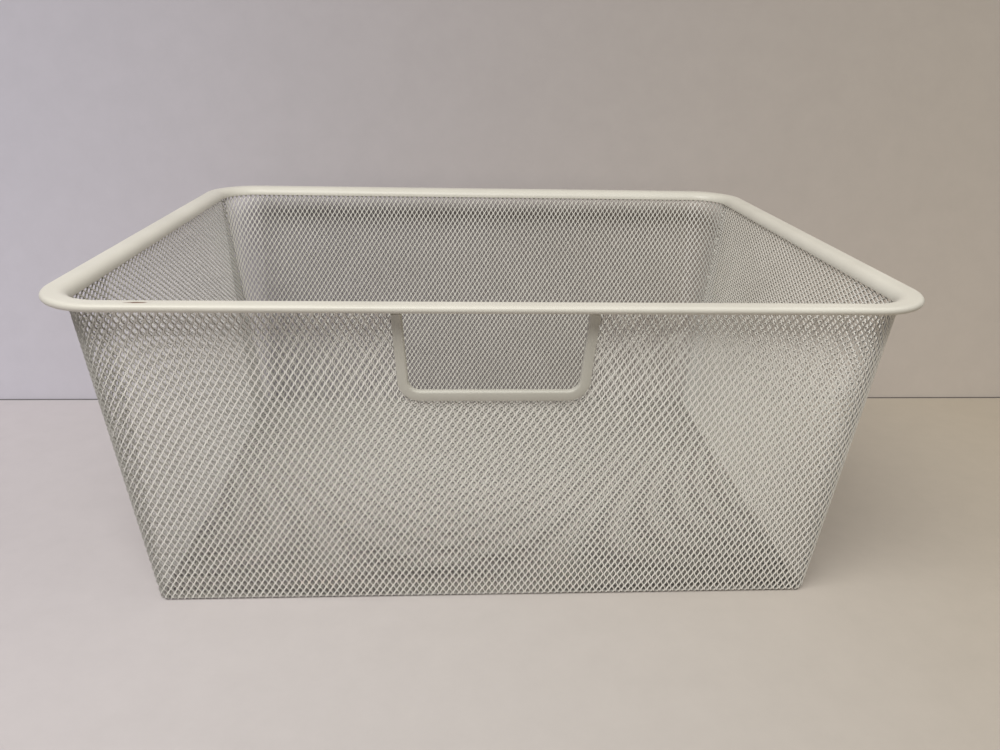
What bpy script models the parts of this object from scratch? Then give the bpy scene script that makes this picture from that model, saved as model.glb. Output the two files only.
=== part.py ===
"""Mesh drawer basket: a basket folded from expanded steel mesh, hung in a rolled steel rim, with a folded steel
trim round the finger gap in its front wall.

Metres, +Z up. The origin is the middle of the floor's underside, +X runs along the front to the right and the
finger gap faces -Y. Each flat panel is modelled in a frame of its own: X across the panel, Y into the basket,
Z up the slope of the wall.
"""
import math

import bmesh
import bpy
from mathutils import Vector

# Overall sizes of the basket, measured over the rim
rim_width = 0.441
rim_depth = 0.347
basket_height = 0.1865
rim_corner_radius = 0.036

# Section of the rolled rim: a round-nosed lip, a round shoulder inside and a skirt that the mesh hangs on, with
# a groove in the lip's underside that takes the mesh's edge
lip_thickness = 0.004
rim_band = 0.0132
shoulder_radius = 0.0062
skirt_drop = 0.006
skirt_wall = 0.0011
groove_depth = 0.0008

# Mesh basket: how far each wall leans out from floor to skirt, and the radius of the floor's corners
wall_taper = 0.0197
mesh_sheet = 0.001
floor_corner_radius = 0.006

# Net of the mesh panels: short and long pitch of its diamonds, the width of a panel's plain edge, the share of
# a pitch that is open, and the share of a diamond that must be left where an edge cuts it
net_short_pitch = 0.041
net_long_pitch = 0.066
net_edge = 0.004
open_share = 0.76
least_gap_share = 0.3

# How much longer than a column of a bent corner an edge may run across before it is split
bend_slack_share = 0.5

# Finger gap in the front wall and the channel folded round its edge
gap_top_width = 0.0906
gap_bottom_width = 0.0856
gap_height = 0.0425
gap_corner_radius = 0.006
trim_face = 0.0054
trim_wall = 0.0009
trim_edge_radius = 0.0008

# Clearance between pieces that seat on each other
seat_gap = 0.0003

# Facet counts of the round forms
nose_segments = 6
shoulder_segments = 6
rim_corner_segments = 8
floor_corner_segments = 4
gap_corner_segments = 6
edge_segments = 2
corner_strip_columns = 6
corner_strip_gaps = 4

# Edges that turn by more than this, in degrees, stay sharp
sharp_angle = 35

# Heights and insets that follow from the sizes above
lip_underside = basket_height - lip_thickness
skirt_bottom = basket_height - skirt_drop
mesh_inset = rim_band - skirt_wall - seat_gap - mesh_sheet
wall_lean = math.atan2(wall_taper, skirt_bottom)
floor_width = rim_width - 2 * (mesh_inset + wall_taper)
floor_depth = rim_depth - 2 * (mesh_inset + wall_taper)
wall_foot = (mesh_sheet + seat_gap) / math.cos(wall_lean)
groove_top = lip_underside + groove_depth
groove_edge = mesh_inset - (groove_top - skirt_bottom) * math.tan(wall_lean) - seat_gap
wall_head = (groove_top - seat_gap - mesh_sheet * math.sin(wall_lean)) / math.cos(wall_lean)
skirt_mesh_radius = rim_corner_radius - mesh_inset


def coated_steel(name, colour, roughness):
    """Powder-coated steel: a pale satin paint."""
    material = bpy.data.materials.new(name)
    material.use_nodes = True
    shader = material.node_tree.nodes["Principled BSDF"]
    shader.inputs["Base Color"].default_value = (*colour, 1.0)
    shader.inputs["Roughness"].default_value = roughness
    shader.inputs["Metallic"].default_value = 0.0
    material.diffuse_color = (*colour, 1.0)
    return material


def add_object(name, bm, material):
    """Make a named object of a bmesh, smooth where it is round."""
    bmesh.ops.recalc_face_normals(bm, faces=bm.faces[:])
    mesh = bpy.data.meshes.new(name)
    bm.to_mesh(mesh)
    bm.free()
    mesh.materials.append(material)
    mesh.shade_smooth()
    mesh.set_sharp_from_angle(angle=math.radians(sharp_angle))
    part = bpy.data.objects.new(name, mesh)
    bpy.context.scene.collection.objects.link(part)
    return part


def arc(centre, radii, start, end, segments):
    """Points of an elliptical arc, both ends included, angles in degrees."""
    points = []
    for i in range(segments + 1):
        angle = math.radians(start + (end - start) * i / segments)
        points.append((centre[0] + radii[0] * math.cos(angle), centre[1] + radii[1] * math.sin(angle)))
    return points


def sweep(sections, closed):
    """Join a row of equal closed sections with quads. An open row is capped at both ends."""
    bm = bmesh.new()
    rings = [[bm.verts.new(point) for point in section] for section in sections]
    last = len(rings) if closed else len(rings) - 1
    for i in range(last):
        ring, following = rings[i], rings[(i + 1) % len(rings)]
        for j in range(len(ring)):
            k = (j + 1) % len(ring)
            bm.faces.new((ring[j], ring[k], following[k], following[j]))
    if not closed:
        bm.faces.new(rings[0])
        bm.faces.new(rings[-1])
    return bm


def rim_section():
    """Closed outline of the rim as (inset from the outer edge, height)."""
    nose = lip_thickness / 2
    shoulder = (shoulder_radius, skirt_drop)
    outline = arc((nose, lip_underside + nose), (nose, nose), 270, 90, nose_segments)
    outline += arc((rim_band - shoulder_radius, skirt_bottom), shoulder, 90, 0, shoulder_segments)
    outline += [(rim_band - skirt_wall, skirt_bottom), (rim_band - skirt_wall, groove_top)]
    outline += [(groove_edge, groove_top), (groove_edge, lip_underside)]
    return outline


def corner_centres(half_width, half_depth, radius):
    """Centres of the corner arcs of a rounded rectangle, with each arc's start angle, anticlockwise."""
    x, y = half_width - radius, half_depth - radius
    return [((x, y), 0), ((-x, y), 90), ((-x, -y), 180), ((x, -y), 270)]


def make_rim(material):
    """The rim is one profile bent round four corners and joined into a ring."""
    sections = []
    for centre, start in corner_centres(rim_width / 2, rim_depth / 2, rim_corner_radius):
        for i in range(rim_corner_segments + 1):
            angle = math.radians(start + 90 * i / rim_corner_segments)
            out = Vector((math.cos(angle), math.sin(angle), 0))
            section = []
            for inset, height in rim_section():
                point = Vector((*centre, 0)) + out * (rim_corner_radius - inset)
                section.append((point.x, point.y, height))
            sections.append(section)
    return add_object("rim_frame", sweep(sections, closed=True), material)


def fill_plate(outline, holes, place, bend_step=None):
    """A sheet with holes. place(across, up, depth) puts each flat point in space, depth 0 being the outer face.

    On a bent sheet no edge runs further across than bend_step, so that it follows the bend.
    """
    flat = bmesh.new()
    for loop in [outline] + holes:
        corners = [flat.verts.new((across, 0, up)) for across, up in loop]
        for i, corner in enumerate(corners):
            flat.edges.new((corner, corners[(i + 1) % len(corners)]))
    bmesh.ops.triangle_fill(flat, use_beauty=True, edges=flat.edges[:], normal=(0, -1, 0))
    while bend_step:
        long_edges = [edge for edge in flat.edges if abs(edge.verts[0].co.x - edge.verts[1].co.x) > bend_step]
        if not long_edges:
            break
        bmesh.ops.subdivide_edges(flat, edges=long_edges, cuts=1)
        bmesh.ops.triangulate(flat, faces=flat.faces[:])
    bmesh.ops.recalc_face_normals(flat, faces=flat.faces[:])
    flat.verts.index_update()

    plate = bmesh.new()
    outer = [plate.verts.new(place(vert.co.x, vert.co.z, 0)) for vert in flat.verts]
    inner = [plate.verts.new(place(vert.co.x, vert.co.z, mesh_sheet)) for vert in flat.verts]
    for face in flat.faces:
        order = [vert.index for vert in face.verts]
        plate.faces.new([outer[i] for i in order])
        plate.faces.new([inner[i] for i in reversed(order)])
    for edge in flat.edges:
        if len(edge.link_faces) == 1:
            a, b = (vert.index for vert in edge.verts)
            plate.faces.new((outer[a], outer[b], inner[b], inner[a]))
    flat.free()
    return plate


def diamond(across, up, half):
    return [(across + half[0], up), (across, up + half[1]), (across - half[0], up), (across, up - half[1])]


def area(polygon):
    total = 0
    for (x0, y0), (x1, y1) in zip(polygon, polygon[1:] + polygon[:1]):
        total += x0 * y1 - x1 * y0
    return abs(total) / 2


def cut(polygon, axis, limit, side):
    """The part of a convex polygon that lies above (side 1) or below (side -1) a limit on one axis."""
    kept = []
    for start, end in zip(polygon, polygon[1:] + polygon[:1]):
        before, after = side * (start[axis] - limit), side * (end[axis] - limit)
        if before >= 0:
            kept.append(start)
        if before * after < 0:
            share = before / (before - after)
            kept.append(tuple(a + (b - a) * share for a, b in zip(start, end)))
    return kept


def trim_gap(polygon, clear_half, clear_foot):
    """Cut a gap back from the finger gap's trim: below it or beside it, whichever leaves more of the gap."""
    side = 1 if sum(point[0] for point in polygon) > 0 else -1
    return max(cut(polygon, 1, clear_foot, -1), cut(polygon, 0, side * clear_half, side), key=area)


def diamond_field(low, high, pitch_across, pitch_up, clear_half=None, clear_foot=None):
    """Diamonds of a net in the rectangle low to high, in staggered rows that fill it and are cut at its edges."""
    columns = max(1, round((high[0] - low[0]) / pitch_across))
    rows = max(1, round((high[1] - low[1]) / pitch_up))
    step = ((high[0] - low[0]) / columns, (high[1] - low[1]) / rows)
    half = (step[0] * open_share / 2, step[1] * open_share / 2)
    field = []
    for row in range(2 * rows + 1):
        offset = 1 - row % 2
        for column in range(columns + offset):
            across = low[0] + step[0] * (column + (1 - offset) / 2)
            whole = diamond(across, low[1] + step[1] * row / 2, half)
            gap = whole
            for axis in (0, 1):
                gap = cut(gap, axis, low[axis], 1)
                gap = cut(gap, axis, high[axis], -1)
            if clear_half and gap:
                gap = trim_gap(gap, clear_half, clear_foot)
            if area(gap) > least_gap_share * area(whole):
                field.append(gap)
    return field


def wall_field(half_foot, pitches, clear=(None, None)):
    """The net of a wall, inside the plain edge that its folds and its welds to the rim leave."""
    low = (net_edge - half_foot, wall_foot + net_edge)
    high = (half_foot - net_edge, wall_head - net_edge - (groove_top - skirt_bottom))
    return diamond_field(low, high, *pitches, *clear)


def flat_place(across, up, depth):
    return Vector((across, depth, up))


def wall_outline(half_foot, half_head):
    return [(-half_foot, wall_foot), (half_foot, wall_foot), (half_head, wall_head), (-half_head, wall_head)]


def wall_halves(floor_size, rim_size):
    """Half widths of a wall's flat part at its foot and its head, between the round corners."""
    foot = floor_size / 2 - floor_corner_radius
    skirt = rim_size / 2 - rim_corner_radius
    head = foot + (skirt - foot) * wall_head * math.cos(wall_lean) / skirt_bottom
    return foot - seat_gap, head - seat_gap


def stand_wall(panel, distance, turn):
    """Lean a wall outward and turn it to its side of the floor, with its outer face on the floor's edge."""
    panel.rotation_euler = (wall_lean, 0, math.radians(turn))
    outward = math.radians(turn - 90)
    panel.location = (distance * math.cos(outward), distance * math.sin(outward), 0)


def gap_path():
    """Edge of the finger gap in the front wall, from its top left round to its top right.

    Each station is (edge point, unit vector out of the gap, radius of the bend there). The corners turn on a
    centre of their own, so a line offset from this edge keeps the same bends.
    """
    trim_depth = mesh_sheet + 2 * (seat_gap + trim_wall)
    top = (skirt_bottom - seat_gap - trim_depth * math.sin(wall_lean)) / math.cos(wall_lean)
    bottom = top - gap_height
    flare = math.atan2((gap_top_width - gap_bottom_width) / 2, gap_height)
    side_out = (math.cos(flare), -math.sin(flare))
    reach = gap_corner_radius * math.tan((math.pi / 2 - flare) / 2)
    centre = (gap_bottom_width / 2 - reach, bottom + gap_corner_radius)
    right = [((gap_top_width / 2, top), side_out)]
    for i in range(gap_corner_segments + 1):
        angle = -flare + (flare - math.pi / 2) * i / gap_corner_segments
        out = (math.cos(angle), math.sin(angle))
        edge = (centre[0] + gap_corner_radius * out[0], centre[1] + gap_corner_radius * out[1])
        right.append((edge, out))
    left = [((-edge[0], edge[1]), (-out[0], out[1])) for edge, out in right]
    return left + right[::-1]


def gap_offset(distance):
    """The gap's edge moved out of the gap by a distance, as flat points of the front wall."""
    return [(edge[0] + out[0] * distance, edge[1] + out[1] * distance) for edge, out in gap_path()]


def make_front_wall(material):
    half_foot, half_head = wall_halves(floor_width, rim_width)
    notch = gap_offset(trim_wall + seat_gap)
    notch = [(notch[0][0], wall_head)] + notch[1:-1] + [(notch[-1][0], wall_head)]
    outline = wall_outline(half_foot, half_head)
    outline = outline[:3] + notch[::-1] + outline[3:]
    trim_outline = gap_offset(trim_face)
    trim_half = max(point[0] for point in trim_outline)
    trim_foot = min(point[1] for point in trim_outline)
    clear = (trim_half + seat_gap, trim_foot - seat_gap)
    holes = wall_field(half_foot, (net_short_pitch, net_long_pitch), clear)
    wall = add_object("mesh_front", fill_plate(outline, holes, flat_place), material)
    stand_wall(wall, floor_depth / 2, 0)
    return wall


def make_plain_wall(name, floor_size, rim_size, distance, turn, pitches, material):
    half_foot, half_head = wall_halves(floor_size, rim_size)
    holes = wall_field(half_foot, pitches)
    wall = add_object(name, fill_plate(wall_outline(half_foot, half_head), holes, flat_place), material)
    stand_wall(wall, distance, turn)
    return wall


def make_floor(material):
    """The floor lies flat: its outer face is the underside."""
    outline = []
    for centre, start in corner_centres(floor_width / 2, floor_depth / 2, floor_corner_radius):
        radii = (floor_corner_radius, floor_corner_radius)
        outline += arc(centre, radii, start, start + 90, floor_corner_segments)
    edge = floor_corner_radius + net_edge
    low = (edge - floor_width / 2, edge - floor_depth / 2)
    high = (-low[0], -low[1])
    holes = diamond_field(low, high, net_short_pitch, net_long_pitch)
    plate = fill_plate(outline, holes, lambda across, up, depth: Vector((across, up, depth)))
    return add_object("mesh_floor", plate, material)


def make_corner(name, side_x, side_y, material):
    """A corner of the mesh: a quarter of a cone, tight at the floor and wide at the rim, with a row of diamonds.

    It ends at the foot of the skirt, where the flat walls beside it run on up behind the skirt.
    """
    head = skirt_bottom - seat_gap
    foot = mesh_sheet + seat_gap
    mean_arc = (floor_corner_radius + skirt_mesh_radius) * math.pi / 4

    def place(across, up, depth):
        share = up / skirt_bottom
        radius = floor_corner_radius + (skirt_mesh_radius - floor_corner_radius) * share
        half_x = floor_width / 2 + wall_taper * share - radius
        half_y = floor_depth / 2 + wall_taper * share - radius
        angle = (across / mean_arc + 1 / 2) * math.pi / 2
        inner = radius - depth / math.cos(wall_lean)
        x, y = half_x + inner * math.cos(angle), half_y + inner * math.sin(angle)
        return Vector((side_x * x, side_y * y, up))

    levels = 2 * corner_strip_gaps
    rise = (head - foot) / corner_strip_gaps
    columns = [mean_arc * (i / corner_strip_columns - 1 / 2) for i in range(corner_strip_columns + 1)]
    heights = [foot + (head - foot) * i / levels for i in range(1, levels)]
    outline = [(across, foot) for across in columns] + [(columns[-1], up) for up in heights]
    outline += [(across, head) for across in reversed(columns)] + [(columns[0], up) for up in reversed(heights)]
    half = (mean_arc * open_share / 2, rise * open_share / 2)
    holes = [diamond(0, foot + rise * (i + 1 / 2), half) for i in range(corner_strip_gaps)]
    bend_step = mean_arc / corner_strip_columns * (1 + bend_slack_share)
    return add_object(name, fill_plate(outline, holes, place, bend_step), material)


def make_trim(parent, material):
    """A channel folded over the cut edge of the mesh, with round outer edges, run round the finger gap."""
    low, high = -(seat_gap + trim_wall), mesh_sheet + seat_gap + trim_wall
    radii = (trim_edge_radius, trim_edge_radius)
    outline = arc((trim_edge_radius, low + trim_edge_radius), radii, 180, 270, edge_segments)
    outline += [(trim_face, low), (trim_face, -seat_gap), (trim_wall, -seat_gap)]
    outline += [(trim_wall, mesh_sheet + seat_gap), (trim_face, mesh_sheet + seat_gap), (trim_face, high)]
    outline += arc((trim_edge_radius, high - trim_edge_radius), radii, 90, 180, edge_segments)
    sections = []
    for edge, out in gap_path():
        sections.append([(edge[0] + out[0] * off, depth, edge[1] + out[1] * off) for off, depth in outline])
    trim = add_object("handle_trim", sweep(sections, closed=False), material)
    trim.parent = parent
    return trim


for old in list(bpy.data.objects):
    bpy.data.objects.remove(old, do_unlink=True)

rim_paint = coated_steel("rim_paint", (0.83, 0.79, 0.70), 0.42)
trim_paint = coated_steel("trim_paint", (0.72, 0.69, 0.61), 0.45)
mesh_paint = coated_steel("mesh_paint", (0.66, 0.64, 0.60), 0.50)

short_across = (net_short_pitch, net_long_pitch)
long_across = (net_long_pitch, net_short_pitch)

make_rim(rim_paint)
front_wall = make_front_wall(mesh_paint)
make_trim(front_wall, trim_paint)
make_plain_wall("mesh_rear", floor_width, rim_width, floor_depth / 2, 180, short_across, mesh_paint)
make_plain_wall("mesh_left", floor_depth, rim_depth, floor_width / 2, 270, long_across, mesh_paint)
make_plain_wall("mesh_right", floor_depth, rim_depth, floor_width / 2, 90, long_across, mesh_paint)
make_floor(mesh_paint)
for side_name, side_x in (("left", -1), ("right", 1)):
    for end_name, side_y in (("front", -1), ("rear", 1)):
        make_corner(f"mesh_corner_{end_name}_{side_name}", side_x, side_y, mesh_paint)
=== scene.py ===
import math

import bpy
import numpy as np
from mathutils import Matrix, Vector


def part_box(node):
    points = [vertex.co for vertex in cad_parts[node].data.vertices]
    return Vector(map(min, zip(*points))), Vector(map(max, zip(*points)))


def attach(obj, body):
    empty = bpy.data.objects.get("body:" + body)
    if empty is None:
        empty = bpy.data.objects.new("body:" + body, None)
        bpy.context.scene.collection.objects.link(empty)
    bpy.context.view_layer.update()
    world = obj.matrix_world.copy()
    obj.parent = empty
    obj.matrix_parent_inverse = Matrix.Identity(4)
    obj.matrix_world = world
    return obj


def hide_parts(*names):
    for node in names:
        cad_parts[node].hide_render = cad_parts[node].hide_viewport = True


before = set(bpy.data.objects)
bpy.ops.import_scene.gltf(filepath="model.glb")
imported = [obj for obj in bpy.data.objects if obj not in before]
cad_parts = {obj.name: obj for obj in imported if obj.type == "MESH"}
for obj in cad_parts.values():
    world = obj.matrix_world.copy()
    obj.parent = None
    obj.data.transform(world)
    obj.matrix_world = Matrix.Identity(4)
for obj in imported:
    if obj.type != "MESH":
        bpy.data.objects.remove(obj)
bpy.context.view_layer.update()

# The floor of the basket. It is the middle of the blank, a thin steel sheet slit in staggered rows and
# pulled open, so that it turns into a net of small diamonds with tilted strands. It is coated with a pale
# satin powder.
floor_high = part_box("mesh_floor")[1]
floor_half_width = floor_high.x
floor_half_depth = floor_high.y
floor_corner_radius = 0.006
floor_corner_cut_share = 0.4
floor_pitches = (0.00395, 0.00638)
# Painted light and shade: each panel of net is given its own coat tones and its own darkening of its sheared
# sides, set to stand in for the light it gets, though the net is one coat. The floor's tones are set about a
# quarter darker than the front wall's, and its sheared sides darkened to about a third.
floor_net_painted_shading_tones = [(0.655, 0.637, 0.575), (0.735, 0.717, 0.655)]
floor_sheared_painted_shade = 0.34

strand_width = 0.00080
strand_thickness = 0.00090
strand_flat_share = 0.8
strand_tilt = math.radians(20)
strand_crease = math.radians(50)
bond_half_length = 0.00070
net_middle = 0.0008
net_sheen = (0.40, 0.52)
net_mottle_scale = 28.0
net_grain = 0.00006

coat_specular = 0.45
coat_cloud_detail = 4.0
coat_tone_span = (0.32, 0.68)
coat_gloss_span = (0.3, 0.7)
peel_scale = 700.0
peel_detail = 2.0
peel_strength = 0.5


def powder_coat(name, tones, sheen, mottle_scale, grain_height):
    """Baked powder over steel: two close tones in soft clouds, a fine orange peel and a satin gloss."""
    material = bpy.data.materials.new(name)
    material.use_nodes = True
    nodes, links = material.node_tree.nodes, material.node_tree.links
    shader = nodes["Principled BSDF"]
    shader.inputs["Metallic"].default_value = 0.0
    shader.inputs["Specular IOR Level"].default_value = coat_specular
    where = nodes.new("ShaderNodeTexCoord")

    clouds = nodes.new("ShaderNodeTexNoise")
    clouds.inputs["Scale"].default_value = mottle_scale
    clouds.inputs["Detail"].default_value = coat_cloud_detail
    links.new(where.outputs["Object"], clouds.inputs["Vector"])
    tone = nodes.new("ShaderNodeValToRGB")
    for stop, level, colour in zip(tone.color_ramp.elements, coat_tone_span, tones):
        stop.position = level
        stop.color = (*colour, 1.0)
    links.new(clouds.outputs["Fac"], tone.inputs["Fac"])
    links.new(tone.outputs["Color"], shader.inputs["Base Color"])

    gloss = nodes.new("ShaderNodeMapRange")
    gloss.inputs["From Min"].default_value = coat_gloss_span[0]
    gloss.inputs["From Max"].default_value = coat_gloss_span[1]
    gloss.inputs["To Min"].default_value = sheen[0]
    gloss.inputs["To Max"].default_value = sheen[1]
    links.new(clouds.outputs["Fac"], gloss.inputs["Value"])
    links.new(gloss.outputs["Result"], shader.inputs["Roughness"])

    peel = nodes.new("ShaderNodeTexNoise")
    peel.inputs["Scale"].default_value = peel_scale
    peel.inputs["Detail"].default_value = peel_detail
    links.new(where.outputs["Object"], peel.inputs["Vector"])
    bump = nodes.new("ShaderNodeBump")
    bump.inputs["Strength"].default_value = peel_strength
    bump.inputs["Distance"].default_value = grain_height
    links.new(peel.outputs["Fac"], bump.inputs["Height"])
    links.new(bump.outputs["Normal"], shader.inputs["Normal"])
    return material


def net_coat(name, tones, sheared_side_painted_shade):
    """The net's powder, with painted shade on the sheared sides of the strands, which are darkened by the
    given share.
    """
    material = powder_coat(name, tones, net_sheen, net_mottle_scale, net_grain)
    nodes, links = material.node_tree.nodes, material.node_tree.links
    shader = nodes["Principled BSDF"]
    full_coat = shader.inputs["Base Color"].links[0].from_socket
    # Painted shade: the faces marked sheared are darkened to the given share of the coat's colour.
    side = nodes.new("ShaderNodeAttribute")
    side.attribute_name = "sheared"
    painted_side_shade = nodes.new("ShaderNodeMix")
    painted_side_shade.data_type = "RGBA"
    painted_side_shade.blend_type = "MULTIPLY"
    painted_side_shade.inputs["B"].default_value = (sheared_side_painted_shade, sheared_side_painted_shade, sheared_side_painted_shade, 1.0)
    links.new(side.outputs["Fac"], painted_side_shade.inputs["Factor"])
    links.new(full_coat, painted_side_shade.inputs["A"])
    links.new(painted_side_shade.outputs["Result"], shader.inputs["Base Color"])
    return material


# A strand has six sides: sides 1 and 4 are the sheet's faces, and the rest are sheared. On the map each side
# is a strip, with a margin to the next, and each cut end has two patches.
strand_sides = 6
sheet_sides = (1, 4)
map_margin = 0.06
map_cap = 0.0003
cap_patch = (0.05, 0.4)
cap_gap_share = 0.2


def net_from_strands(name, points, quads, maps, sheared):
    """The net's mesh, faced outwards, with its map and with the sheared sides of its strands marked."""
    a, b, c, d = (points[quads[:, j]] for j in range(4))
    if np.einsum("ij,ij->", a, np.cross(b, c)) + np.einsum("ij,ij->", a, np.cross(c, d)) < 0:
        quads = quads[:, ::-1]
        maps = maps.reshape(-1, 4, 2)[:, ::-1].reshape(-1, 8)
    mesh = bpy.data.meshes.new(name)
    mesh.vertices.add(len(points))
    mesh.vertices.foreach_set("co", points.astype(np.float32).ravel())
    mesh.loops.add(quads.size)
    mesh.loops.foreach_set("vertex_index", quads.astype(np.int32).ravel())
    mesh.polygons.add(len(quads))
    mesh.polygons.foreach_set("loop_start", np.arange(0, quads.size, 4, dtype=np.int32))
    mesh.update(calc_edges=True)
    mesh.shade_smooth()
    mesh.set_sharp_from_angle(angle=strand_crease)
    mesh.uv_layers.new(name="OFBake").data.foreach_set("uv", maps.astype(np.float32).ravel())
    sides = mesh.attributes.new("sheared", "FLOAT", "FACE")
    sides.data.foreach_set("value", sheared.astype(np.float32))
    mesh.update()
    net = bpy.data.objects.new(name, mesh)
    bpy.context.scene.collection.objects.link(net)
    return net


def stretched_net(name, columns, start, end, pitches, tilt, place, keep=None, bends=()):
    """A panel of net, made of ribbons of steel that run side by side from start to end.

    Each ribbon swings from its left neighbour to its right one and back, and is bonded to them in turn,
    which leaves the diamonds between them. place(across, along, proud) puts flat points in space.
    keep(across, along) says where the panel has net, and bends are more places along a ribbon where it
    follows a bend.
    """
    short_way, long_way = pitches
    step = short_way / 2
    lean = (math.cos(tilt), math.sin(tilt))
    flat = strand_flat_share
    edge = strand_width / 2 * np.array([1, flat, -flat, -1, -flat, flat])
    thick = strand_thickness / 2 * np.array([0, 1, 1, 0, -1, -1])
    wide = columns[1] - columns[0]
    map_run = end - start + 4 * map_cap
    rise = map_cap / map_run
    points, quads, maps, sheared = [], [], [], []
    made = 0
    for parity in (0, 1):
        ribbons = np.arange(columns[0] + (parity - columns[0]) % 2, columns[1], 2)
        bonds = np.arange(math.floor(2 * start / long_way) - 1, math.ceil(2 * end / long_way) + 2)
        knots = (bonds[:, None] * long_way / 2 + np.array([-bond_half_length, bond_half_length])).ravel()
        swings = np.repeat((bonds + parity) % 2, 2).astype(float)
        inner_knots = knots[(knots > start) & (knots < end)]
        along = np.unique(np.concatenate([inner_knots, [start, end], list(bends)]))
        swing = np.interp(along, knots, swings)
        across = (ribbons[:, None] + swing) * step + (0.5 - swing) * strand_width * lean[0]
        proud = np.broadcast_to((0.5 - swing) * strand_width * lean[1], across.shape)
        there = np.broadcast_to(along, across.shape)
        kept = keep(across, there) if keep else np.ones(across.shape, bool)
        piece = kept[:, :-1] & kept[:, 1:]
        used = np.zeros(across.shape, bool)
        used[:, :-1] |= piece
        used[:, 1:] |= piece
        index = np.cumsum(used).reshape(used.shape) - 1 + made
        made += int(used.sum())

        u = across[:, :, None] + edge * lean[0] - thick * lean[1]
        n = proud[:, :, None] + edge * lean[1] + thick * lean[0]
        v = np.broadcast_to(there[:, :, None], u.shape)
        points.append(place(u[used], v[used], n[used]).reshape(-1, 3))

        track = (ribbons - columns[0]) / wide
        level = (along - start + 2 * map_cap) / map_run
        row, spot = np.nonzero(piece)
        low, high = index[row, spot] * strand_sides, index[row, spot + 1] * strand_sides
        bottom, top = level[spot], level[spot + 1]
        for j in range(strand_sides):
            k = (j + 1) % strand_sides
            quads.append(np.stack([low + j, low + k, high + k, high + j], 1))
            left = track[row] + (j + map_margin) / strand_sides / wide
            right = track[row] + (j + 1 - map_margin) / strand_sides / wide
            maps.append(np.stack([left, bottom, right, bottom, right, top, left, top], 1))
            sheared.append(np.full(len(row), float(j not in sheet_sides)))

        before = np.zeros(piece.shape, bool)
        before[:, 1:] = piece[:, :-1]
        after = np.zeros(piece.shape, bool)
        after[:, :-1] = piece[:, 1:]
        for ends, shift, orders, away in (
            (piece & ~before, 0, ((3, 2, 1, 0), (0, 5, 4, 3)), -rise),
            (piece & ~after, 1, ((0, 1, 2, 3), (3, 4, 5, 0)), rise),
        ):
            row, spot = np.nonzero(ends)
            corner = index[row, spot + shift] * strand_sides
            height = level[spot + shift]
            near, far = height + away * cap_gap_share, height + away
            for half, order in enumerate(orders):
                quads.append(np.stack([corner + j for j in order], 1))
                left = track[row] + (half / 2 + cap_patch[0]) / wide
                right = track[row] + (half / 2 + cap_patch[1]) / wide
                maps.append(np.stack([left, near, right, near, right, far, left, far], 1))
                sheared.append(np.ones(len(row)))

    parts = (np.concatenate(part) for part in (points, quads, maps, sheared))
    return net_from_strands(name, *parts)


def hang_net(net, coat, nodes):
    """Paint a panel of net and let it stand for its CAD nodes."""
    net.data.materials.append(coat)
    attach(net, "root")
    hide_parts(*nodes)


# The floor's net lies flat up to where the folds of the walls start, a little inside the floor's edge.
fold_outer_radius = 0.0026
fold_set_share = 0.897
fold_set = fold_outer_radius * fold_set_share
floor_reach = floor_half_width - fold_set
floor_run = floor_half_depth - fold_set
floor_columns = math.floor(floor_reach / (floor_pitches[0] / 2))


def floor_place(across, along, proud):
    """Placing for the floor, which faces down."""
    return np.stack([across, along, net_middle - proud], -1)


def inside_floor(across, along):
    """The floor's corners are rounded, so the net stops short in them."""
    past_x = np.maximum(np.abs(across) - (floor_half_width - floor_corner_radius), 0)
    past_y = np.maximum(np.abs(along) - (floor_half_depth - floor_corner_radius), 0)
    return np.hypot(past_x, past_y) < floor_corner_radius - fold_set * floor_corner_cut_share


floor_coat = net_coat("net_floor_coat", floor_net_painted_shading_tones, floor_sheared_painted_shade)
thirds = [round(floor_columns * share) for share in (-1, -1 / 3, 1 / 3, 1)]
for part, columns in enumerate(zip(thirds, thirds[1:]), 1):
    net = stretched_net(
        f"net_floor_{part}", columns, -floor_run, floor_run, floor_pitches, strand_tilt,
        floor_place, inside_floor
    )
    hang_net(net, floor_coat, ["mesh_floor"])

# The front wall. The blank is folded up along the floor's front edge and leans out a little. A notch is cut
# in the middle of its upper edge for the finger gap, and the upper edge runs up behind the rim's skirt into
# a groove under its lip.
front_pitches = (0.00382, 0.00621)
# Painted light: the front wall's coat tones are set the palest of all the panels, and its sheared sides
# darkened to about two thirds.
front_net_painted_shading_tones = [(0.915, 0.895, 0.837), (0.955, 0.935, 0.877)]
front_sheared_painted_shade = 0.64
blank_thickness = 0.001
wall_spread = 0.0197
wall_rise = 0.1805
wall_lean = math.atan2(wall_spread, wall_rise)

rim_low, rim_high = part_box("rim_frame")
skirt_bottom = rim_low.z
skirt_mesh_radius = 0.0252
lip_thickness = 0.004
head_in_groove = 0.0004
net_head = rim_high.z - lip_thickness + head_in_groove

fold_turn = math.pi / 2 - wall_lean
fold_middle_radius = fold_outer_radius - net_middle
fold_length = fold_middle_radius * fold_turn
fold_height = fold_outer_radius - fold_middle_radius * math.sin(wall_lean)
fold_shares = (0.001, 0.25, 0.5, 0.75, 0.999)
fold_bends = [fold_length * share for share in fold_shares]
slope_start = fold_set - fold_length
wall_run = fold_length + (net_head - fold_height) / math.cos(wall_lean)

gap_top_half = 0.0453
gap_bottom_half = 0.0428
gap_height = 0.0425
trim_face = 0.0054
trim_wall = 0.0009
trim_cover_share = 0.45
seat_gap = 0.0003
trim_depth = blank_thickness + 2 * (seat_gap + trim_wall)
gap_top = (skirt_bottom - seat_gap - trim_depth * math.sin(wall_lean)) / math.cos(wall_lean)
gap_bottom = gap_top - gap_height


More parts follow.
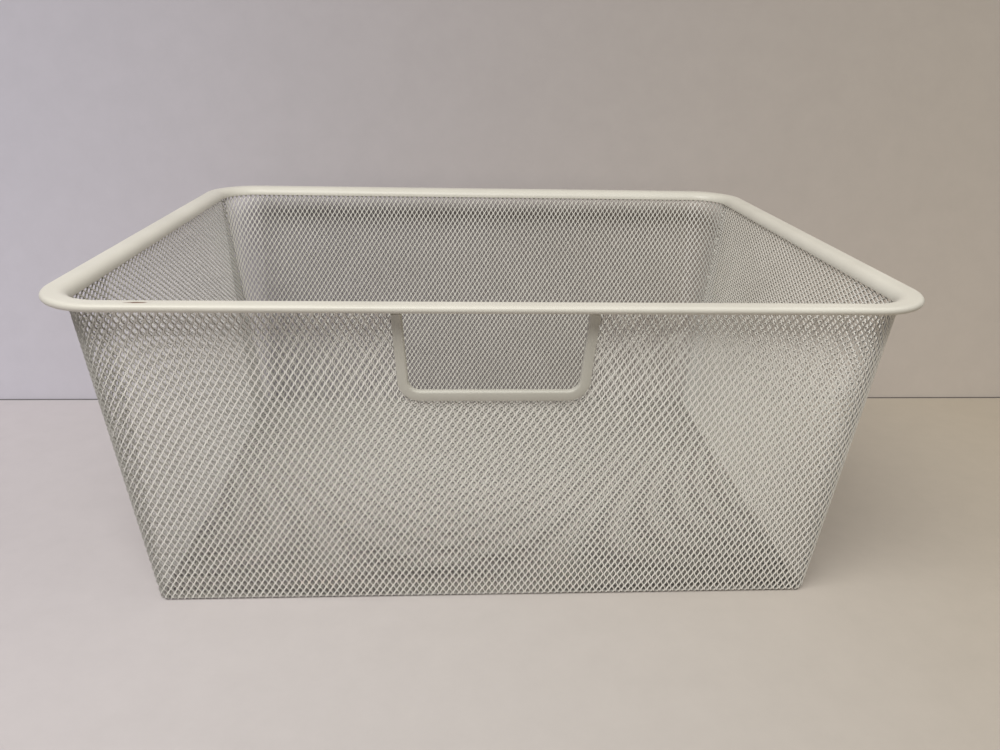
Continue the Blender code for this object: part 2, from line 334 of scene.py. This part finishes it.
def wall_shape(half_out, climb):
    """How far out and how high a wall's net is after a climb from the start of its fold, and its facing."""
    turn = np.clip(climb / fold_middle_radius, 0, fold_turn)
    up = np.maximum(climb - fold_length, 0)
    out = half_out - fold_set + np.minimum(climb, 0)
    out = out + fold_middle_radius * np.sin(turn) + up * math.sin(wall_lean)
    height = fold_outer_radius - fold_middle_radius * np.cos(turn) + up * math.cos(wall_lean)
    return out, height, np.sin(turn), -np.cos(turn)


def corner_shape(half_along, half_out, climb):
    """Where a wall's flat part ends after a climb, and the radius and centre line of its round corner."""
    out, height = wall_shape(half_out, climb)[:2]
    spread = height * math.tan(wall_lean)
    radius = floor_corner_radius + (skirt_mesh_radius - floor_corner_radius) * height / skirt_bottom
    return half_along + spread - radius, out - (half_out + spread - radius), half_out + spread - radius


def wall_place(half_along, half_out, facing, layer=0.0):
    """Placing for a wall that faces a side: flat in the middle, bent round the corners at both ends.

    A flap with a layer steps over by that much, just past the start of the corner.
    """
    step_turn = 0.15

    def place(across, climb, proud):
        out, height, face_out, face_up = wall_shape(half_out, climb)
        flat, radius, centre = corner_shape(half_along, half_out, climb)
        angle = np.maximum(np.abs(across) - flat, 0) / radius
        proud = proud + layer * np.minimum(angle / step_turn, 1)
        bow = radius + proud * face_out
        run = np.sign(across) * (np.minimum(np.abs(across), flat) + bow * np.sin(angle))
        reach = centre + bow * np.cos(angle)
        x = run * abs(facing[1]) + reach * facing[0]
        y = run * abs(facing[0]) + reach * facing[1]
        return np.stack([x, y, height + proud * face_up], -1)

    return place


def gap_edge(climb):
    """Half the width of the finger gap at a climb of the front wall."""
    slope = climb + slope_start
    return gap_top_half - (gap_top_half - gap_bottom_half) * (gap_top - slope) / gap_height


def beside_gap(across, climb):
    """The front's net stops inside the trim of the finger gap."""
    hidden = trim_face * trim_cover_share
    slope = climb + slope_start
    return (np.abs(across) > gap_edge(climb) + hidden) | (slope < gap_bottom - hidden)


front_flat = floor_half_width - floor_corner_radius
front_columns = math.floor(front_flat / (front_pitches[0] / 2))
front_place = wall_place(floor_half_width, floor_half_depth, (0, -1))
front_coat = net_coat("net_front_coat", front_net_painted_shading_tones, front_sheared_painted_shade)
for side, columns in (("left", (-front_columns, 0)), ("right", (0, front_columns))):
    net = stretched_net(
        f"net_front_{side}", columns, 0, wall_run, front_pitches, strand_tilt,
        front_place, beside_gap, fold_bends
    )
    hang_net(net, front_coat, ["mesh_front"])

# The rear wall. It is the same sheet, folded up along the floor's rear edge to the same lean, and it has no
# notch: its upper edge runs up behind the rim's skirt from corner to corner.
rear_pitches = (0.00386, 0.00613)
# Painted shade: the rear wall's coat tones are set darker than the front's, and its sheared sides darkened
# to about two fifths.
rear_net_painted_shading_tones = [(0.730, 0.714, 0.648), (0.812, 0.796, 0.730)]
rear_sheared_painted_shade = 0.38
rear_columns = math.floor(front_flat / (rear_pitches[0] / 2))
rear_place = wall_place(floor_half_width, floor_half_depth, (0, 1))
rear_coat = net_coat("net_rear_coat", rear_net_painted_shading_tones, rear_sheared_painted_shade)
for side, columns in (("left", (-rear_columns, 0)), ("right", (0, rear_columns))):
    net = stretched_net(
        f"net_rear_{side}", columns, 0, wall_run, rear_pitches, -strand_tilt,
        rear_place, None, fold_bends
    )
    hang_net(net, rear_coat, ["mesh_rear"])

# The left and right walls. They are folded up the other way of the sheet, so their diamonds lie down, and
# each row is set back a little from the one below.
side_pitches = (0.00377, 0.00631)
side_drift = 0.22
side_end_gap = 0.0005
# Painted light and shade: the left wall's coat tones are set paler than the right's, and their sheared sides
# are darkened by different shares.
left_net_painted_shading_tones = [(0.850, 0.836, 0.795), (0.885, 0.871, 0.830)]
left_sheared_painted_shade = 0.82
right_net_painted_shading_tones = [(0.770, 0.748, 0.680), (0.850, 0.828, 0.760)]
right_sheared_painted_shade = 0.64
side_flat = floor_half_depth - floor_corner_radius
side_reach = side_flat - side_drift * wall_run / 2 - side_end_gap
side_columns = math.floor(wall_run / (side_pitches[0] / 2))


def side_place(facing, layer=0.0):
    """Placing for a side wall, whose ribbons run along it, with the drift of the rows."""
    place = wall_place(floor_half_depth, floor_half_width, facing, layer)
    return lambda climb, along, proud: place(along + side_drift * (climb - wall_run / 2), climb, proud)


side_coats = {
    "left": net_coat("net_left_coat", left_net_painted_shading_tones, left_sheared_painted_shade),
    "right": net_coat("net_right_coat", right_net_painted_shading_tones, right_sheared_painted_shade),
}
side_halves = (("lower", (0, side_columns // 2)), ("upper", (side_columns // 2, side_columns)))
for side, facing, tilt in (("left", (-1, 0), -strand_tilt), ("right", (1, 0), strand_tilt)):
    for part, columns in side_halves:
        net = stretched_net(
            f"net_{side}_{part}", columns, -side_reach, side_reach, side_pitches, tilt,
            side_place(facing)
        )
        hang_net(net, side_coats[side], [f"mesh_{side}"])

# The corners. A flap of the front or rear wall is bent round each corner, lapped over the edge of the side
# wall and spot-welded. The side wall's edge lies inside at the front and outside at the rear.
outer_lap = math.radians(80)
inner_lap = math.radians(20)
flap_layer = 0.0010
flap_spare = 0.004
flap_reach = skirt_mesh_radius * math.pi / 2 + flap_spare
flap_start_share = 0.3
flap_start = fold_length * flap_start_share
# Painted light and shade: the corners have coat tones of their own, and their sheared sides are darkened to
# a little over half.
corner_net_painted_shading_tones = [(0.820, 0.803, 0.745), (0.890, 0.873, 0.815)]
corner_sheared_painted_shade = 0.56


def front_flap(side_x):
    """The flap of the front or rear wall that goes round the corner on one side."""

    def keep(across, climb):
        flat, radius = corner_shape(floor_half_width, floor_half_depth, climb)[:2]
        angle = (side_x * across - flat) / radius
        return (angle <= outer_lap) & (climb > flap_start)

    return keep


def side_flap(side_y):
    """The edge of a side wall that reaches a little way round the corner at one end."""

    def keep(climb, along):
        run = along + side_drift * (climb - wall_run / 2)
        flat, radius = corner_shape(floor_half_depth, floor_half_width, climb)[:2]
        angle = (side_y * run - flat) / radius
        return (angle <= inner_lap) & ((angle <= 0) | (climb > flap_start))

    return keep


def join_nets(name, nets):
    """Join the two flaps of a corner into one piece, each with its own half of the map."""
    for half, net in enumerate(nets):
        layer = net.data.uv_layers["OFBake"]
        spots = np.empty(len(layer.data) * 2, np.float32)
        layer.data.foreach_get("uv", spots)
        spots = spots.reshape(-1, 2)
        spots[:, 0] = spots[:, 0] / 2 + half / 2
        layer.data.foreach_set("uv", spots.ravel())
    with bpy.context.temp_override(active_object=nets[0], selected_editable_objects=nets):
        bpy.ops.object.join()
    nets[0].name = name
    return nets[0]


flap_place = {-1: front_place, 1: rear_place}
corner_coat = net_coat("net_corner_coat", corner_net_painted_shading_tones, corner_sheared_painted_shade)
for end_name, side_y in (("front", -1), ("rear", 1)):
    pitches = front_pitches if side_y < 0 else rear_pitches
    first = front_columns if side_y < 0 else rear_columns
    last = first + math.ceil(flap_reach / (pitches[0] / 2))
    for side_name, side_x in (("left", -1), ("right", 1)):
        columns = (first, last) if side_x > 0 else (-last, -first)
        outer = stretched_net(
            "outer_flap", columns, 0, wall_run, pitches, -side_y * strand_tilt,
            flap_place[side_y], front_flap(side_x), fold_bends
        )
        span = sorted((side_y * side_reach, side_y * (side_flat + side_drift * wall_run + flap_reach)))
        inner = stretched_net(
            "side_flap", (0, side_columns), span[0], span[1], side_pitches, side_x * strand_tilt,
            side_place((side_x, 0), side_y * flap_layer), side_flap(side_y)
        )
        corner = join_nets(f"net_corner_{end_name}_{side_name}", [outer, inner])
        hang_net(corner, corner_coat, [f"mesh_corner_{end_name}_{side_name}"])

# The rim. One strip of steel is rolled to a profile with a round nose, a flat top and a rounded inner
# shoulder that turns down into a skirt. It is bent round four corners, welded into a ring and powder-coated
# cream white.
rim_half_width = rim_high.x
rim_half_depth = rim_high.y
rim_top = rim_high.z
rim_corner_radius = 0.036
rim_band = 0.0132
shoulder_radius = 0.0062
skirt_drop = 0.006
skirt_wall = 0.0011
skirt_edge_radius = 0.0003
groove_depth = 0.0008
round_steps = 14
edge_steps = 2
flat_shares = (0.33, 0.66)
rim_corner_steps = 24
rim_side_step = 0.012
sheet_crease = math.radians(40)
rim_tones = [(0.620, 0.598, 0.528), (0.666, 0.645, 0.574)]
rim_sheen = (0.36, 0.48)
rim_mottle_scale = 22.0
rim_grain = 0.00005


def arc(centre, radii, start, end, segments):
    """Points of an elliptical arc, both ends included, angles in degrees."""
    turns = np.radians(np.linspace(start, end, segments + 1))
    return [(centre[0] + radii[0] * math.cos(t), centre[1] + radii[1] * math.sin(t)) for t in turns]


def rolled_section():
    """Outline of the rim as (inset from the outer edge, height)."""
    nose = lip_thickness / 2
    under = rim_top - lip_thickness
    foot = rim_top - skirt_drop
    groove = under + groove_depth
    mesh_inset = rim_band - skirt_wall - seat_gap - blank_thickness
    groove_edge = mesh_inset - (groove - foot) * math.tan(wall_lean) - seat_gap
    edge = skirt_edge_radius
    inside, outside = rim_band - edge, rim_band - skirt_wall + edge
    outline = arc((nose, under + nose), (nose, nose), 270, 90, round_steps)
    outline += [(nose + share * (rim_band - shoulder_radius - nose), rim_top) for share in flat_shares]
    shoulder = (rim_band - shoulder_radius, foot + edge)
    outline += arc(shoulder, (shoulder_radius, skirt_drop - edge), 90, 0, round_steps)
    outline += arc((inside, foot + edge), (edge, edge), 0, -90, edge_steps)
    outline += arc((outside, foot + edge), (edge, edge), 270, 180, edge_steps)
    outline += [(rim_band - skirt_wall, groove), (groove_edge, groove), (groove_edge, under)]
    outline += [(groove_edge - share * (groove_edge - nose), under) for share in flat_shares]
    return outline


def ring_stations(half_width, half_depth, radius, corner_steps, side_step):
    """Stations round a rounded rectangle: the centre that each turns on, and its direction out."""
    stations = []
    corners = [(1, 1, 0), (-1, 1, 90), (-1, -1, 180), (1, -1, 270)]
    for i, (sx, sy, start) in enumerate(corners):
        centre = np.array([sx * (half_width - radius), sy * (half_depth - radius)])
        for turn in np.linspace(start, start + 90, corner_steps + 1):
            out = np.array([math.cos(math.radians(turn)), math.sin(math.radians(turn))])
            stations.append((centre, out))
        following = corners[(i + 1) % 4]
        target = np.array([following[0] * (half_width - radius), following[1] * (half_depth - radius)])
        count = max(1, round(np.linalg.norm(target - centre) / side_step))
        for j in range(1, count):
            stations.append((centre + (target - centre) * j / count, stations[-1][1]))
    return stations


def mesh_volume(mesh):
    """Six times the volume inside a closed mesh, below zero where its faces look in."""
    mesh.calc_loop_triangles()
    total = 0.0
    for triangle in mesh.loop_triangles:
        a, b, c = (mesh.vertices[i].co for i in triangle.vertices)
        total += a.dot(b.cross(c))
    return total


def solid_of_rings(name, rings, closed, crease):
    """A smooth piece made of a row of equal closed sections."""
    across, along = len(rings[0]), len(rings)
    points = [tuple(p) for ring in rings for p in ring]
    faces = []
    for i in range(along if closed else along - 1):
        here, there = i * across, (i + 1) % along * across
        for j in range(across):
            k = (j + 1) % across
            faces.append((here + j, here + k, there + k, there + j))
    if not closed:
        faces.append(tuple(range(across - 1, -1, -1)))
        faces.append(tuple(range((along - 1) * across, along * across)))
    mesh = bpy.data.meshes.new(name)
    mesh.from_pydata(points, [], faces)
    mesh.update()
    if mesh_volume(mesh) < 0:
        mesh.flip_normals()
    mesh.shade_smooth()
    mesh.set_sharp_from_angle(angle=crease)
    piece = bpy.data.objects.new(name, mesh)
    bpy.context.scene.collection.objects.link(piece)
    return piece


rings = []
rim_line = (rim_half_width, rim_half_depth, rim_corner_radius)
for centre, out in ring_stations(*rim_line, rim_corner_steps, rim_side_step):
    ring = []
    for inset, height in rolled_section():
        spot = centre + out * (rim_corner_radius - inset)
        ring.append((spot[0], spot[1], height))
    rings.append(ring)
rim = solid_of_rings("rolled_rim", rings, True, sheet_crease)
rim_coat = powder_coat("rim_powder_coat", rim_tones, rim_sheen, rim_mottle_scale, rim_grain)
rim.data.materials.append(rim_coat)
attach(rim, "root")
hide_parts("rim_frame")

# A chip in the rim's coat, on the ridge of the front rim near its left end. The powder has flaked off there,
# and the bare steel under it has gone brown.
chip_spot = (-0.1656, -0.1690, 0.1865)
chip_size = (0.0062, 0.0011, 0.0020)
chip_tone = (0.16, 0.09, 0.05)
chip_flake_scale = 1.6
chip_flake_detail = 3.0
chip_ragged_share = 1.6
chip_clean_level = 1.75
chip_bare_level = 1.45

nodes, links = rim_coat.node_tree.nodes, rim_coat.node_tree.links
shader = nodes["Principled BSDF"]
clean = shader.inputs["Base Color"].links[0].from_socket
place_chip = nodes.new("ShaderNodeMapping")
place_chip.vector_type = "TEXTURE"
place_chip.inputs["Location"].default_value = chip_spot
place_chip.inputs["Scale"].default_value = chip_size
links.new(nodes["Texture Coordinate"].outputs["Object"], place_chip.inputs["Vector"])
flake = nodes.new("ShaderNodeTexNoise")
flake.inputs["Scale"].default_value = chip_flake_scale
flake.inputs["Detail"].default_value = chip_flake_detail
links.new(place_chip.outputs["Vector"], flake.inputs["Vector"])
away = nodes.new("ShaderNodeVectorMath")
away.operation = "LENGTH"
links.new(place_chip.outputs["Vector"], away.inputs[0])
ragged = nodes.new("ShaderNodeMath")
ragged.operation = "MULTIPLY_ADD"
ragged.inputs[1].default_value = chip_ragged_share
links.new(flake.outputs["Fac"], ragged.inputs[0])
links.new(away.outputs["Value"], ragged.inputs[2])
bare = nodes.new("ShaderNodeMapRange")
bare.inputs["From Min"].default_value = chip_clean_level
bare.inputs["From Max"].default_value = chip_bare_level
links.new(ragged.outputs["Value"], bare.inputs["Value"])
rusted = nodes.new("ShaderNodeMix")
rusted.data_type = "RGBA"
rusted.inputs["B"].default_value = (*chip_tone, 1.0)
links.new(bare.outputs["Result"], rusted.inputs["Factor"])
links.new(clean, rusted.inputs["A"])
links.new(rusted.outputs["Result"], shader.inputs["Base Color"])

# The trim of the finger gap. A narrow channel of thin steel is folded over the cut edge of the net, down one
# side, round two tight corners and up the other side. It is coated with the rest of the basket, but its
# tones are set a little darker than the rim's, as painted shade.
gap_corner_radius = 0.006
gap_corner_steps = 16
gap_side_steps = 7
gap_floor_shares = (0.2, 0.4, 0.6, 0.8)
trim_bend_radius = 0.0012
trim_bend_steps = 6
trim_lip_radius = 0.0002
trim_shaded_tones = [(0.545, 0.531, 0.466), (0.590, 0.576, 0.511)]
trim_sheen = (0.34, 0.46)
trim_mottle_scale = 26.0
trim_grain = 0.00005


def gap_stations():
    """The finger gap's edge in the flat front wall, as (point, direction out of the gap)."""
    flare = math.atan2(gap_top_half - gap_bottom_half, gap_height)
    side_out = (math.cos(flare), -math.sin(flare))
    reach = gap_corner_radius * math.tan((math.pi / 2 - flare) / 2)
    centre = (gap_bottom_half - reach, gap_bottom + gap_corner_radius)
    round_corner = []
    for turn in np.linspace(-flare, -math.pi / 2, gap_corner_steps + 1):
        out = (math.cos(turn), math.sin(turn))
        spot = (centre[0] + gap_corner_radius * out[0], centre[1] + gap_corner_radius * out[1])
        round_corner.append((spot, out))
    side_end, floor_start = round_corner[0][0], round_corner[-1][0]
    side = []
    for share in np.linspace(0, 1, gap_side_steps + 1)[:-1]:
        across = gap_top_half + (side_end[0] - gap_top_half) * share
        side.append(((across, gap_top + (side_end[1] - gap_top) * share), side_out))
    down = (0.0, -1.0)
    floor = [((floor_start[0] * (1 - share), floor_start[1]), down) for share in gap_floor_shares]
    right = side + round_corner + floor
    left = [((-p[0], p[1]), (-o[0], o[1])) for p, o in right]
    return left + [((0.0, gap_bottom), down)] + right[::-1]


def channel_section():
    """Outline of the folded channel as (distance from the gap's edge, depth into the basket)."""
    front, back = -seat_gap, blank_thickness + seat_gap
    low, high = front - trim_wall, back + trim_wall
    bend, lip = trim_bend_radius, trim_lip_radius
    outline = arc((bend, low + bend), (bend, bend), 180, 270, trim_bend_steps)
    outline += arc((trim_face - lip, low + lip), (lip, lip), 270, 360, edge_steps)
    outline += [(trim_face, front), (trim_wall, front), (trim_wall, back), (trim_face, back)]
    outline += arc((trim_face - lip, high - lip), (lip, lip), 0, 90, edge_steps)
    outline += arc((bend, high - bend), (bend, bend), 90, 180, trim_bend_steps)
    return outline


rings = []
for edge, out in gap_stations():
    ring = []
    for off, depth in channel_section():
        across, up = edge[0] + out[0] * off, edge[1] + out[1] * off
        y = -floor_half_depth - up * math.sin(wall_lean) + depth * math.cos(wall_lean)
        ring.append((across, y, up * math.cos(wall_lean) + depth * math.sin(wall_lean)))
    rings.append(ring)
trim = solid_of_rings("gap_trim", rings, False, sheet_crease)
trim_coat = powder_coat("trim_powder_coat", trim_shaded_tones, trim_sheen, trim_mottle_scale, trim_grain)
trim.data.materials.append(trim_coat)
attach(trim, "root")
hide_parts("handle_trim")

# The stage: a pale floor, a pale board that leans back from it close behind the basket, and a thin dark
# strip at the board's foot, painted as the line of shade there. Floor and board carry painted light: paler
# and cooler at the left than in the middle and at the right, and the board paler at its foot than higher up.
# All three let the eye through from behind, so that the basket shows from every side.
floor_paper_painted_light_tones = [(0.573, 0.529, 0.558), (0.509, 0.484, 0.468), (0.452, 0.388, 0.298)]
board_paper_painted_light_tones = [(0.535, 0.519, 0.592), (0.410, 0.376, 0.370), (0.476, 0.424, 0.367)]
# Painted shade: the tones of a thin dark strip that stands for the line of shade at the board's foot.
seam_shade_tones = [(0.20, 0.19, 0.20), (0.17, 0.16, 0.16), (0.15, 0.13, 0.12)]
board_painted_light_fade = 0.16
board_foot = 0.1437
board_lean = 0.235
board_gap = 0.0008
board_sunk = 0.004
seam_gaps = (0.0002, 0.0004)
seam_height = 0.0010
stage_half = 3.0
stage_height = 2.4
tone_half_width = 0.45
fade_height = 0.35
paper_roughness = 0.9
paper_specular = 0.1
paper_cloud_scale = 45.0
paper_cloud_detail = 8.0
paper_cloud_roughness = 0.7
paper_cloud_span = (0.94, 1.06)


def stage_paint(name, tones, fade):
    """Matt paper with painted light: three tones from left to right, and paler at the foot than higher up by
    the fade.
    """
    material = bpy.data.materials.new(name)
    material.use_nodes = True
    nodes, links = material.node_tree.nodes, material.node_tree.links
    shader = nodes["Principled BSDF"]
    shader.inputs["Roughness"].default_value = paper_roughness
    shader.inputs["Specular IOR Level"].default_value = paper_specular
    where = nodes.new("ShaderNodeTexCoord")
    split = nodes.new("ShaderNodeSeparateXYZ")
    links.new(where.outputs["Object"], split.inputs["Vector"])

    # Painted light: the tones run from pale and cool on the left to darker on the middle and right.
    side = nodes.new("ShaderNodeMapRange")
    side.inputs["From Min"].default_value = -tone_half_width
    side.inputs["From Max"].default_value = tone_half_width
    links.new(split.outputs["X"], side.inputs["Value"])
    tone = nodes.new("ShaderNodeValToRGB")
    ramp = tone.color_ramp
    ramp.interpolation = "B_SPLINE"
    stops = [ramp.elements[0], ramp.elements.new(0.5), ramp.elements[-1]]
    for stop, colour in zip(stops, tones):
        stop.color = (*colour, 1.0)
    links.new(side.outputs["Result"], tone.inputs["Fac"])

    clouds = nodes.new("ShaderNodeTexNoise")
    clouds.inputs["Scale"].default_value = paper_cloud_scale
    clouds.inputs["Detail"].default_value = paper_cloud_detail
    clouds.inputs["Roughness"].default_value = paper_cloud_roughness
    links.new(where.outputs["Object"], clouds.inputs["Vector"])
    cloudy = nodes.new("ShaderNodeMapRange")
    cloudy.inputs["To Min"].default_value = paper_cloud_span[0]
    cloudy.inputs["To Max"].default_value = paper_cloud_span[1]
    links.new(clouds.outputs["Fac"], cloudy.inputs["Value"])
    # Painted light: the paper is made paler at its foot and darker higher up by the fade.
    rise = nodes.new("ShaderNodeMapRange")
    rise.inputs["From Min"].default_value = 0.0
    rise.inputs["From Max"].default_value = fade_height
    rise.inputs["To Min"].default_value = 1.0 + fade
    rise.inputs["To Max"].default_value = 1.0 - fade
    links.new(split.outputs["Z"], rise.inputs["Value"])
    strength = nodes.new("ShaderNodeMath")
    strength.operation = "MULTIPLY"
    links.new(cloudy.outputs["Result"], strength.inputs[0])
    links.new(rise.outputs["Result"], strength.inputs[1])
    paper = nodes.new("ShaderNodeVectorMath")
    paper.operation = "SCALE"
    links.new(tone.outputs["Color"], paper.inputs[0])
    links.new(strength.outputs["Value"], paper.inputs["Scale"])
    links.new(paper.outputs["Vector"], shader.inputs["Base Color"])

    clear = nodes.new("ShaderNodeBsdfTransparent")
    facing = nodes.new("ShaderNodeNewGeometry")
    mix = nodes.new("ShaderNodeMixShader")
    links.new(facing.outputs["Backfacing"], mix.inputs["Fac"])
    links.new(shader.outputs["BSDF"], mix.inputs[1])
    links.new(clear.outputs["BSDF"], mix.inputs[2])
    links.new(mix.outputs["Shader"], nodes["Material Output"].inputs["Surface"])
    return material


def stage_strip(name, profile, material):
    """A wide strip of paper that follows a line of (depth, height) points."""
    points = [(x, y, z) for y, z in profile for x in (-stage_half, stage_half)]
    faces = [(2 * i, 2 * i + 1, 2 * i + 3, 2 * i + 2) for i in range(len(profile) - 1)]
    mesh = bpy.data.meshes.new(name)
    mesh.from_pydata(points, [], faces)
    mesh.update()
    mesh.shade_smooth()
    mesh.materials.append(material)
    strip = bpy.data.objects.new(name, mesh)
    bpy.context.scene.collection.objects.link(strip)


board_start = board_foot + board_gap
stage_strip(
    "stage_floor",
    [(-stage_half, 0.0), (board_foot, 0.0)],
    stage_paint("floor_paper", floor_paper_painted_light_tones, 0.0),
)
stage_strip(
    "stage_backdrop",
    [(board_start, -board_sunk), (board_start + stage_height * board_lean, stage_height)],
    stage_paint("backdrop_paper", board_paper_painted_light_tones, board_painted_light_fade),
)
# Painted shade: a thin dark strip at the board's foot.
stage_strip(
    "stage_seam",
    [(board_foot + seam_gaps[0], 0.0), (board_foot + seam_gaps[1], seam_height)],
    stage_paint("seam_paper", seam_shade_tones, 0.0),
)

# Light: a wide soft lamp high in front of the basket, a little to the left, and a weaker one high on the
# right. The even surround gives little light, and looks paler to the eye than that.
lamp_target = (0, 0, 0.10)
window_spot = (-0.40, -0.85, 1.50)
window_size = (1.80, 0.80)
window_power = 29.5
window_colour = (1.0, 0.985, 0.95)
ceiling_spot = (0.85, -0.40, 1.25)
ceiling_size = (1.2, 1.2)
ceiling_power = 5.0
ceiling_colour = (1.0, 0.97, 0.93)
surround_colour = (0.96, 0.97, 1.0)
surround_light = 0.05
surround_seen = 0.55

scene = bpy.context.scene
scene.view_settings.view_transform = "Standard"


def soft_lamp(name, spot, size, power, colour):
    """An oval area lamp that hangs at a spot and shines on the basket."""
    lamp = bpy.data.lights.new(name, "AREA")
    lamp.shape = "ELLIPSE"
    lamp.size, lamp.size_y = size
    lamp.energy = power
    lamp.color = colour
    holder = bpy.data.objects.new(name, lamp)
    holder.location = spot
    holder.rotation_euler = (Vector(lamp_target) - Vector(spot)).to_track_quat("-Z", "Y").to_euler()
    scene.collection.objects.link(holder)


soft_lamp("window_lamp", window_spot, window_size, window_power, window_colour)
soft_lamp("ceiling_lamp", ceiling_spot, ceiling_size, ceiling_power, ceiling_colour)

world = bpy.data.worlds.new("studio")
world.use_nodes = True
nodes, links = world.node_tree.nodes, world.node_tree.links
nodes["Background"].inputs["Color"].default_value = (*surround_colour, 1.0)
eye = nodes.new("ShaderNodeLightPath")
direct = nodes.new("ShaderNodeMath")
direct.operation = "MAXIMUM"
links.new(eye.outputs["Is Camera Ray"], direct.inputs[0])
links.new(eye.outputs["Is Glossy Ray"], direct.inputs[1])
seen = nodes.new("ShaderNodeMath")
seen.operation = "MAXIMUM"
links.new(direct.outputs["Value"], seen.inputs[0])
links.new(eye.outputs["Is Transmission Ray"], seen.inputs[1])
surround = nodes.new("ShaderNodeMapRange")
surround.inputs["To Min"].default_value = surround_light
surround.inputs["To Max"].default_value = surround_seen
links.new(seen.outputs["Value"], surround.inputs["Value"])
links.new(surround.outputs["Result"], nodes["Background"].inputs["Strength"])
scene.world = world

# The camera: in front of the basket, a little left of its middle and above the rim, looking down at it. Its
# place and turns were fitted to the straight edges of the rim and the floor.
camera_spot = (-0.0202, -0.5306, 0.2969)
camera_pan = -0.06148
camera_dip = 0.38398
camera_roll = 0.02258
camera_data = bpy.data.cameras.new("camera")
camera_data.lens = 28.868
camera_data.sensor_width = 36.0
camera = bpy.data.objects.new("camera", camera_data)
turned = Matrix.Rotation(camera_pan, 4, "Z") @ Matrix.Rotation(math.pi / 2 - camera_dip, 4, "X")
camera.matrix_world = Matrix.Translation(camera_spot) @ turned @ Matrix.Rotation(camera_roll, 4, "Z")
scene.collection.objects.link(camera)
scene.camera = camera
